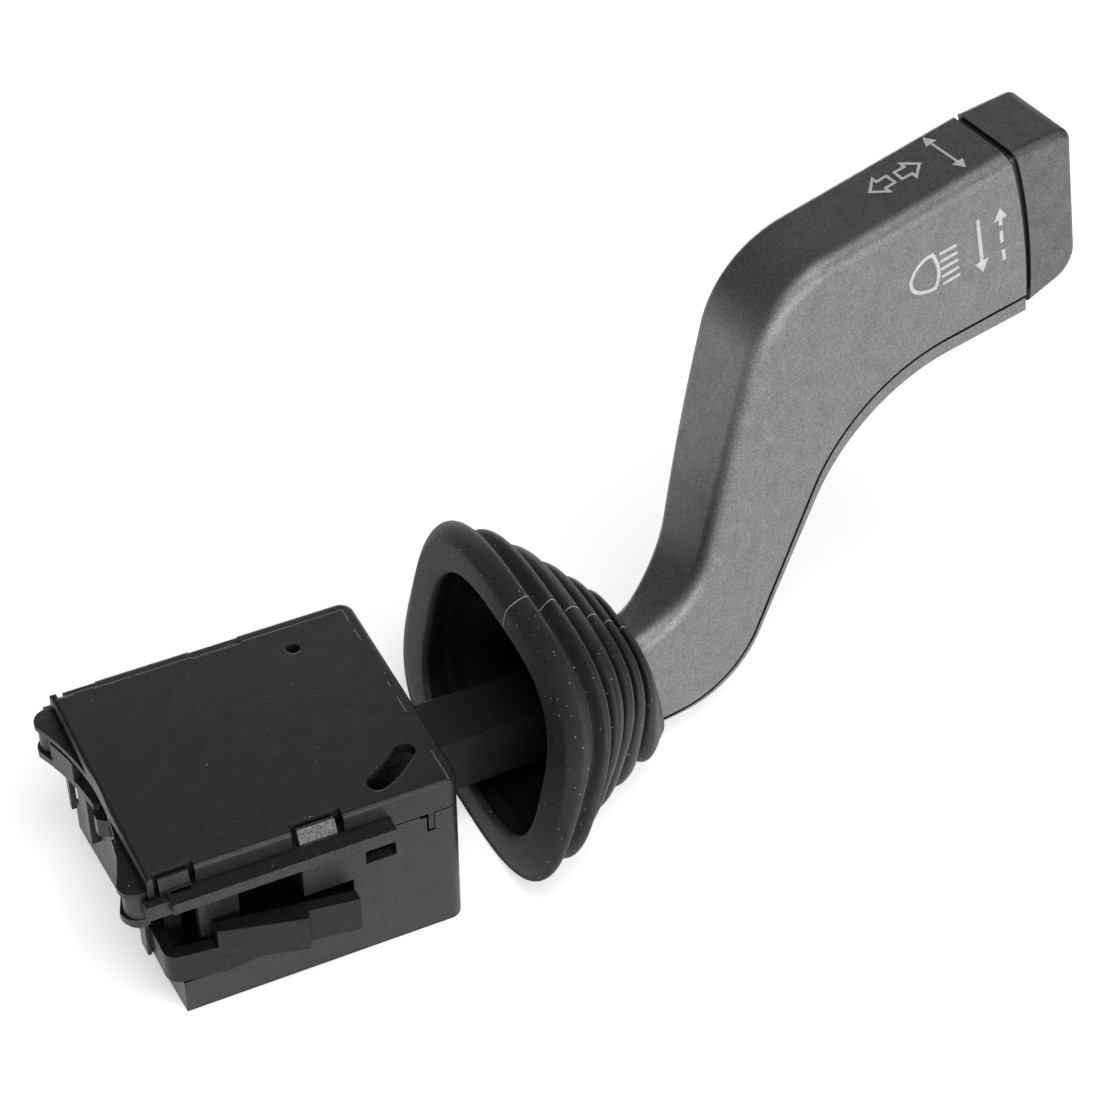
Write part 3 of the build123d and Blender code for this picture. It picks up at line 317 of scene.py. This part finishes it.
def plastic(
    name, colour, roughness, scale, bump, contrast=0.3, dust_amount=0.0, rarity=0.85,
    edge=0.0002, gloss=0.5, seam=0.0015, line=None, line_tone=0.45, coat=0.0, coat_ior=1.6,
):
    """A moulded finish: one colour shaded by grain, dusted, with the grain as bump."""
    material = bpy.data.materials.new(name)
    material.use_nodes = True
    tree = material.node_tree
    shader = tree.nodes["Principled BSDF"]
    shader.inputs["Roughness"].default_value = roughness
    shader.inputs["Specular IOR Level"].default_value = gloss
    shader.inputs["Coat IOR"].default_value = coat_ior
    shader.inputs["Coat Roughness"].default_value = roughness
    texture = tree.nodes.new("ShaderNodeGroup")
    texture.node_tree = grain
    texture.inputs["Scale"].default_value = scale
    texture.inputs["Contrast"].default_value = contrast
    tint = tree.nodes.new("ShaderNodeMix")
    tint.data_type = "RGBA"
    tint.blend_type = "MULTIPLY"
    tint.inputs["Factor"].default_value = 1.0
    tint.inputs["A"].default_value = (*colour, 1.0)
    tree.links.new(texture.outputs["Shade"], tint.inputs["B"])
    last = tint.outputs["Result"]
    if dust_amount:
        specks = tree.nodes.new("ShaderNodeGroup")
        specks.node_tree = dust
        specks.inputs["Amount"].default_value = dust_amount
        specks.inputs["Rarity"].default_value = rarity
        settle = tree.nodes.new("ShaderNodeMix")
        settle.data_type = "RGBA"
        settle.inputs["B"].default_value = dust_tone
        tree.links.new(specks.outputs["Mask"], settle.inputs["Factor"])
        tree.links.new(last, settle.inputs["A"])
        last = settle.outputs["Result"]
    if line:
        drawn = tree.nodes.new("ShaderNodeGroup")
        drawn.node_tree = line
        pale = tree.nodes.new("ShaderNodeMix")
        pale.data_type = "RGBA"
        pale.inputs["B"].default_value = (line_tone, line_tone, line_tone, 1.0)
        tree.links.new(drawn.outputs["Mask"], pale.inputs["Factor"])
        tree.links.new(last, pale.inputs["A"])
        last = pale.outputs["Result"]
    # Painted shade: the colour is mixed towards near black where a point sees little of the room.
    reach = tree.nodes.new("ShaderNodeGroup")
    reach.node_tree = painted_seam_shade
    reach.inputs["Reach"].default_value = seam
    painted_shade_mix = tree.nodes.new("ShaderNodeMix")
    painted_shade_mix.data_type = "RGBA"
    painted_shade_mix.inputs["A"].default_value = seam_shade_tone
    tree.links.new(reach.outputs["Mask"], painted_shade_mix.inputs["Factor"])
    tree.links.new(last, painted_shade_mix.inputs["B"])
    tree.links.new(painted_shade_mix.outputs["Result"], shader.inputs["Base Color"])
    # The same mask thins the coat, so the gloss gets painted shade in seams too.
    if coat:
        shine = math_node(tree, "MULTIPLY", texture.outputs["Shade"], coat)
        shine = math_node(tree, "MULTIPLY", shine, reach.outputs["Mask"])
        tree.links.new(shine, shader.inputs["Coat Weight"])
    relief = tree.nodes.new("ShaderNodeBump")
    relief.inputs["Strength"].default_value = bump
    relief.inputs["Distance"].default_value = grain_depth * mm
    tree.links.new(texture.outputs["Height"], relief.inputs["Height"])
    if edge:
        rounded = tree.nodes.new("ShaderNodeBevel")
        rounded.samples = 4
        rounded.inputs["Radius"].default_value = edge
        tree.links.new(rounded.outputs["Normal"], relief.inputs["Normal"])
    tree.links.new(relief.outputs["Normal"], shader.inputs["Normal"])
    return material


# %% [markdown]
# The housing is sparked black plastic, the grip has a soft paint with a stronger shine, and the boot
# is dull dusty rubber. The pieces inside have what such a switch has: acetal slides, a laminate
# board, brass contacts and steel springs and pins.

# %% Finishes by material slot
finishes = {
    "housing": plastic(
        "housing_black", (0.018, 0.018, 0.018), 0.45, 2500.0, 0.6, 0.5, 0.12, 0.93,
        gloss=0.25, coat=0.5,
    ),
    # The arm is a darker black than the housing: painted shade where it sits between housing and
    # boot.
    "arm": plastic("arm_black_painted_shade", (0.012, 0.012, 0.012), 0.5, 1500.0, 0.2, gloss=0.3),
    "grip": plastic(
        "grip_soft_paint", (0.035, 0.035, 0.035), 0.5, 2600.0, 1.0, 0.5, 0.12, 0.93,
        coat=1.0, coat_ior=2.6,
    ),
    # The boot's pale parting line is a painted highlight of its flash.
    "boot": plastic(
        "boot_rubber", (0.020, 0.020, 0.020), 0.6, 1600.0, 0.4, 0.25, 0.16, 0.5,
        edge=0.0, gloss=0.22, seam=0.0015, line=flash_highlight, coat=0.4,
    ),
    "mechanism": plastic("black_acetal", (0.015, 0.015, 0.015), 0.35, 900.0, 0.15, 0.2),
    "sliding": plastic("natural_acetal", (0.72, 0.70, 0.64), 0.35, 900.0, 0.15, 0.05),
    "board": plastic("laminate_board", (0.30, 0.19, 0.08), 0.6, 1800.0, 0.4),
    "copper": plastic("rolled_brass", (0.78, 0.60, 0.32), 0.3, 1500.0, 0.1, 0.1),
    "steel": plastic("drawn_steel", (0.56, 0.57, 0.58), 0.3, 1500.0, 0.1, 0.1),
}
for metal in ("copper", "steel"):
    finishes[metal].node_tree.nodes["Principled BSDF"].inputs["Metallic"].default_value = 1.0
print("finishes", sorted(finishes))

# %% [markdown]
# Some faces differ from the rest of their material. The cover and the cap come from other moulds than
# the pieces beside them, so each has its own tone, and the cover carries the painted edge highlight.
# The latches are a darker black than the housing, as painted shade. The boot's inside is darker and
# duller, as painted shade, the large snap hook has a coarser grain, and the symbols are printed in
# pale ink.

# %% Finishes of single pieces
# The boot's inside is a darker, duller copy of the rubber with a long reach of seam shade: painted
# shade for the dim mouth.
inside = plastic(
    "boot_inside_painted_shade", (0.012, 0.012, 0.012), 0.8, 1200.0, 0.2, edge=0.0, gloss=0.1, seam=0.01
)
ink = plastic(
    "symbol_ink", (0.6, 0.6, 0.6), 0.6, 6000.0, 0.2, 0.15, gloss=0.2, seam=0.00001
)
rough_hook = plastic(
    "hook_grain", (0.08, 0.08, 0.08), 0.5, 3500.0, 1.0, 0.9, gloss=0.15, coat=0.8, coat_ior=2.2
)
cap_paint = plastic(
    "cap_paint", (0.03, 0.03, 0.03), 0.55, 2600.0, 1.0, 0.5, 0.12, 0.93,
    gloss=0.25, coat=1.0, coat_ior=2.2,
)
# The latches are a darker copy of the housing black: painted shade.
latch_painted_shade = plastic(
    "latch_painted_shade", (0.013, 0.013, 0.013), 0.4, 2500.0, 0.4, 0.4, gloss=0.12, coat=0.3
)
# The cover carries the painted edge highlight as a pale line.
cover_black = plastic(
    "cover_black", (0.015, 0.015, 0.015), 0.45, 2500.0, 0.6, 0.4, 0.12, 0.93,
    edge=0.0005, gloss=0.18, line=edge_highlight, line_tone=0.16, coat=0.5,
)
own_finish = {
    "top_cover": cover_black,
    "end_cap": cap_paint,
    "front_latch": latch_painted_shade,
    "rear_latch": latch_painted_shade,
}
print("own finishes", inside.name, ink.name, rough_hook.name, sorted(own_finish))

# %% [markdown]
# The rigid pieces keep their packed form and only get their finish. The large snap hook is part of
# the housing, so its faces are found by their place, in millimetres, and take the coarser grain.

# %% Dress the solids
hook_x = (-7.5, 0.1)
hook_y = (-24.2, -21.5)
hook_bottom = 27.5
slots = {row["node"]: row["material_slot"] for row in frame["record"]["subparts"]}
for name, node in nodes.items():
    node.data.materials.clear()
    node.data.materials.append(own_finish.get(name, finishes[slots[name]]))
base = nodes["base_housing"]
base.data.materials.append(rough_hook)
for polygon in base.data.polygons:
    across, depth, height = polygon.center / mm
    beside = hook_x[0] < across < hook_x[1] and hook_y[0] < depth < hook_y[1]
    polygon.material_index = 1 if beside and hook_bottom < height else 0
on_hook = sum(polygon.material_index for polygon in base.data.polygons)
print("dressed", len(slots), "nodes,", on_hook, "faces on the hook")

# %% [markdown]
# The boot is modelled anew, because moulded rubber has round folds and no flat facets. It starts as
# one squarish oval loop at the mouth. The loop is extruded from ring to ring, over the lip and the
# folds to the grip and back along the inside, and each step turns and resizes it. Every ring is
# written as its x and z, its lean in degrees, and its half width and half height, in millimetres.

# %% The boot's lip and crests
face = (35.8, 22.6, 10.6, 30.8, 22.2)
rim = (37.4, 23.1, 14.4, 33.0, 23.7)
lip_back = (38.7, 23.1, 14.7, 32.4, 23.1)
mouth = (35.8, 22.5, 10.6, 23.4, 18.0)
crests = [
    (43.4, 22.4, 13.7, 30.4, 21.7),
    (47.5, 21.4, 17.2, 26.0, 19.2),
    (52.1, 20.4, 16.1, 21.9, 16.9),
    (57.0, 19.5, 10.5, 18.1, 14.8),
    (62.3, 18.6, 0.3, 14.6, 12.9),
]
tip = (66.0, 18.2, -12.0, 9.0, 11.8)
neck = (4.2, 9.4)


def ring(base, ahead, inset):
    """A ring moved ahead along X and drawn in by an inset."""
    x, z, lean, half_y, half_z = base
    return (x + ahead, z, lean, half_y - inset, half_z - inset)


def between(first, second, share, inset):
    """A ring part of the way from one ring to the next, drawn in by an inset."""
    mixed = [low + (high - low) * share for low, high in zip(first, second)]
    return ring(mixed, 0.0, inset)


print("crests", len(crests))

# %% [markdown]
# Outside, the rings start within the mouth, pass over the rounded lip and fall into a groove behind
# it. Every fold after that has one profile: shares of the way to the next crest, with shares of the
# groove's depth. The last ring closes on the grip's neck.

# %% The boot's outside
groove_depth = 2.6
fold_shape = [
    (0.12, 0.02), (0.27, 0.22), (0.38, 0.7), (0.44, 1.0),
    (0.52, 1.0), (0.6, 0.55), (0.72, 0.16), (0.87, 0.0),
]
outer = [
    ring(mouth, 1.2, 0.0),
    ring(mouth, 0.3, 0.0),
    ring(mouth, 0.0, -0.5),
    between(mouth, face, 0.5, 0.0),
    ring(face, 0.0, 0.6),
    ring(face, 0.15, 0.0),
    between(face, rim, 0.55, -0.25),
    ring(rim, -0.2, 0.1),
    ring(rim, 0.3, 0.0),
    ring(rim, 0.9, 0.2),
    ring(lip_back, 0.1, 0.5),
    ring(lip_back, 0.3, 2.2),
    between(lip_back, crests[0], 0.35, 3.0),
    between(lip_back, crests[0], 0.55, 2.9),
    between(lip_back, crests[0], 0.68, 1.6),
    between(lip_back, crests[0], 0.85, 0.3),
]
for first, second in zip(crests, crests[1:]):
    outer.append(ring(first, 0.0, 0.0))
    outer.extend(between(first, second, share, cut * groove_depth) for share, cut in fold_shape)
outer.append(ring(crests[-1], 0.0, 0.0))
outer.append(between(crests[-1], tip, 0.35, -0.1))
outer.append(between(crests[-1], tip, 0.6, 0.3))
outer.append(between(crests[-1], tip, 0.9, 0.2))
outer.append(ring(tip, 0.0, 0.6))
outer.append((tip[0], tip[1], tip[2], *neck))
print("rings outside", len(outer))

# %% [markdown]
# Inside, the rings run back from the neck to the mouth, one wall's thickness within the outside.
# Rubber is moulded with an even wall, so the folds show here too, only softer.

# %% The boot's inside
boot_wall = 1.5
inner = [(tip[0] - boot_wall, tip[1], tip[2], *neck)]
inner.append(between(crests[-1], tip, 0.6, boot_wall + 0.3))
for first, second in reversed(list(zip(crests, crests[1:]))):
    inner.append(ring(second, 0.0, boot_wall))
    inner.append(between(first, second, 0.48, boot_wall + groove_depth))
inner.append(ring(crests[0], 0.0, boot_wall))
inner.append(between(lip_back, crests[0], 0.45, boot_wall + 3.0))
inner.append(ring(mouth, 2.6, -1.0))
inner.append(outer[0])
rings = outer + inner
print("rings inside", len(inner), "and in all", len(rings))


# %% [markdown]
# The first loop is a square with its corners rounded until it is the squarish oval of the mouth. A
# step to the next ring moves it, turns it upright, resizes it there and leans it again, because a
# leaning loop can't be resized along its own height.

# %% The boot's first loop
def turned(angle, centre):
    """Turn the selected loop about Y by an angle in radians, top towards +X."""
    bpy.ops.transform.rotate(
        value=-angle, orient_axis="Y", orient_type="GLOBAL", center_override=centre
    )


def step(before, after):
    """Extrude the selected loop from one ring to the next."""
    start = Vector((before[0], 0.0, before[1])) * mm
    end = Vector((after[0], 0.0, after[1])) * mm
    bpy.ops.mesh.extrude_region_move(TRANSFORM_OT_translate={"value": end - start})
    turned(-radians(before[2]), end)
    growth = (1.0, after[3] / before[3], after[4] / before[4])
    bpy.ops.transform.resize(value=growth, center_override=end)
    turned(radians(after[2]), end)


start_ring = rings[0]
oval_profile = 0.64
corner_steps = 16
weld = 0.00001
centre = Vector((start_ring[0], 0.0, start_ring[1])) * mm
bpy.ops.mesh.primitive_plane_add(size=2.0, location=centre, rotation=(0.0, radians(90), 0.0))
boot = bpy.context.object
boot.name = "boot_folds"
bpy.ops.object.transform_apply(location=True, rotation=True, scale=True)
bpy.ops.object.mode_set(mode="EDIT")
bpy.ops.mesh.select_all(action="SELECT")
bpy.ops.mesh.bevel(offset=1.0, segments=corner_steps, profile=oval_profile, affect="VERTICES")
bpy.ops.mesh.select_all(action="SELECT")
bpy.ops.mesh.remove_doubles(threshold=weld)
bpy.ops.mesh.delete(type="ONLY_FACE")
bpy.ops.mesh.select_all(action="SELECT")
size_there = (1.0, start_ring[3] * mm, start_ring[4] * mm)
bpy.ops.transform.resize(value=size_there, center_override=centre)
turned(radians(start_ring[2]), centre)
print("loop round", [round(value, 4) for value in centre])

# %% [markdown]
# The loop is drawn through all the rings and the last is welded to the first, so the boot is one
# closed wall of rubber. The inner side gets the darker, duller finish of painted shade, and two
# levels of smoothing round the folds as a mould does. The mesh takes the place of the plain solid and
# moves with the stalk.

# %% Draw out and finish the boot
for before, after in zip(rings, rings[1:]):
    step(before, after)
bpy.ops.mesh.select_all(action="SELECT")
bpy.ops.mesh.remove_doubles(threshold=weld)
bpy.ops.mesh.normals_make_consistent(inside=False)
bpy.ops.object.mode_set(mode="OBJECT")
per_ring = len(boot.data.polygons) // (len(rings) - 1)
boot.data.materials.append(finishes["boot"])
boot.data.materials.append(inside)
for number, polygon in enumerate(boot.data.polygons):
    polygon.material_index = 1 if number >= per_ring * len(outer) else 0
smooth = boot.modifiers.new("round", "SUBSURF")
smooth.levels = 2
bpy.ops.object.modifier_apply(modifier=smooth.name)
bpy.ops.object.shade_smooth()
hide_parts("rubber_boot")
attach(boot, "stalk")
low = [min(vertex.co[axis] for vertex in boot.data.vertices) for axis in range(3)]
high = [max(vertex.co[axis] for vertex in boot.data.vertices) for axis in range(3)]
print("boot from", [round(value, 4) for value in low], "to", [round(value, 4) for value in high])

# %% [markdown]
# The grip carries the usual function symbols: a main beam lamp with arrows for push and pull on the
# front face, and turn signal arrows with a double arrow on the top face. Each is a thin film of ink.
# A disc is added with one point for each corner, its points are set in millimetres, it is inset
# where only a line is printed, and it is extruded by the film's thickness.

# %% Symbol outlines
def bar(start, end, width):
    """The four corners of a straight stroke."""
    along = (Vector(end) - Vector(start)).normalized()
    side = Vector((-along.y, along.x)) * width / 2
    return [Vector(start) - side, Vector(end) - side, Vector(end) + side, Vector(start) + side]


def arrow(tail, tip, head, head_width, shaft_width):
    """The seven corners of an arrow."""
    along = (Vector(tip) - Vector(tail)).normalized()
    side = Vector((-along.y, along.x))
    root = Vector(tip) - along * head
    half = side * shaft_width / 2
    barb = side * head_width / 2
    return [
        Vector(tail) - half, root - half, root - barb, Vector(tip),
        root + barb, root + half, Vector(tail) + half,
    ]


lamp = [
    (60.9, 88.1), (59.2, 87.8), (57.9, 86.9), (56.8, 85.5), (56.2, 83.7), (56.4, 82.4),
    (57.0, 81.4), (57.9, 80.6), (59.0, 80.1), (60.8, 79.8), (62.5, 79.9), (63.0, 81.7),
    (63.0, 83.6), (62.6, 85.1), (62.0, 86.4), (61.5, 87.4),
]
front_solid = [
    bar((62.35 + 0.36 * k, 87.2 - 1.7 * k), (66.0 + 0.36 * k, 87.7 - 1.65 * k), 0.7)
    for k in range(5)
]
front_solid.append(arrow((70.2, 91.2), (72.65, 79.3), 2.7, 3.0, 0.8))
front_solid.append(arrow((75.6, 87.9), (74.9, 91.8), 2.6, 3.0, 0.8))
front_solid.append(bar((75.8, 86.8), (76.25, 84.1), 0.8))
front_solid.append(bar((76.7, 82.5), (77.25, 80.1), 0.8))
top_solid = [
    arrow((43.25, 9.2), (43.0, 14.7), 2.3, 2.4, 0.5),
    arrow((43.25, 9.2), (43.5, 3.5), 2.3, 2.4, 0.5),
]
top_lined = [
    arrow((32.8, 10.0), (27.6, 9.8), 3.1, 5.8, 2.9),
    arrow((33.7, 9.8), (38.9, 9.7), 3.1, 5.8, 2.8),
]
print("symbols", 1 + len(front_solid) + len(top_solid) + len(top_lined))

# %% [markdown]
# Print lies flat, so each printed face has a plane that leans as the face does: the front face is
# turned a little about the upright, and the top face rises towards the cap.

# %% Planes of the printed faces
yaw = radians(8.0)
rise = radians(10.1)
face_along = Vector((cos(yaw), sin(yaw), 0.0))
face_out = Vector((sin(yaw), -cos(yaw), 0.0))
face_up = Vector((0.0, 0.0, 1.0))
face_origin = Vector((62.0, -4.8, 0.0)) * mm
top_along = face_along * cos(rise) + face_up * sin(rise)
top_out = face_up * cos(rise) - face_along * sin(rise)
top_origin = face_origin + (face_along * 26.9 + face_up * 92.4) * mm


def plane_at(origin, across, along, out):
    """The matrix that lays flat work on a plane."""
    return Matrix.Translation(origin) @ Matrix((across, along, out)).transposed().to_4x4()


on_front = plane_at(face_origin, face_along, face_up, face_out)
on_top = plane_at(top_origin, top_along, -face_out, top_out)
print("printed faces at", tuple(face_origin), tuple(top_origin))


# %% [markdown]
# Ink is a film that stands a little proud of the face. It starts slightly below the face, so that no
# gap shows where the face isn't flat. The print on each face is one object and moves with the stalk.

# %% Print the symbols
film = 0.05
sunk = 0.02


def printed(name, outline, plane, line=0.0):
    """A film of ink with an outline, solid or only a line wide, laid on a plane."""
    bpy.ops.mesh.primitive_circle_add(
        vertices=len(outline), radius=0.005, fill_type="NGON", location=(0, 0, 0)
    )
    piece = bpy.context.object
    piece.name = name
    for vertex, (across, along) in zip(piece.data.vertices, outline):
        vertex.co = Vector((across, along, -sunk)) * mm
    bpy.ops.object.mode_set(mode="EDIT")
    bpy.ops.mesh.select_all(action="SELECT")
    if line:
        bpy.ops.mesh.inset(thickness=line * mm, use_even_offset=True)
        bpy.ops.mesh.delete(type="FACE")
        bpy.ops.mesh.select_all(action="SELECT")
    bpy.ops.mesh.extrude_region_move(TRANSFORM_OT_translate={"value": (0.0, 0.0, film * mm)})
    bpy.ops.mesh.select_all(action="SELECT")
    bpy.ops.mesh.normals_make_consistent(inside=False)
    bpy.ops.object.mode_set(mode="OBJECT")
    piece.data.transform(plane)
    piece.data.materials.append(ink)
    return piece


def join(name, pieces):
    """One object made of several pieces, which rides with the stalk."""
    bpy.ops.object.select_all(action="DESELECT")
    for piece in pieces:
        piece.select_set(True)
    bpy.context.view_layer.objects.active = pieces[0]
    bpy.ops.object.join()
    whole = bpy.context.object
    whole.name = name
    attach(whole, "stalk")
    return whole


front_print = [printed("lamp", lamp, on_front, 0.75)]
front_print += [printed("stroke", outline, on_front) for outline in front_solid]
top_print = [printed("stroke", outline, on_top) for outline in top_solid]
top_print += [printed("stroke", outline, on_top, 0.55) for outline in top_lined]
front_print = join("front_symbols", front_print)
top_print = join("top_symbols", top_print)
print("ink faces", len(front_print.data.polygons), len(top_print.data.polygons))
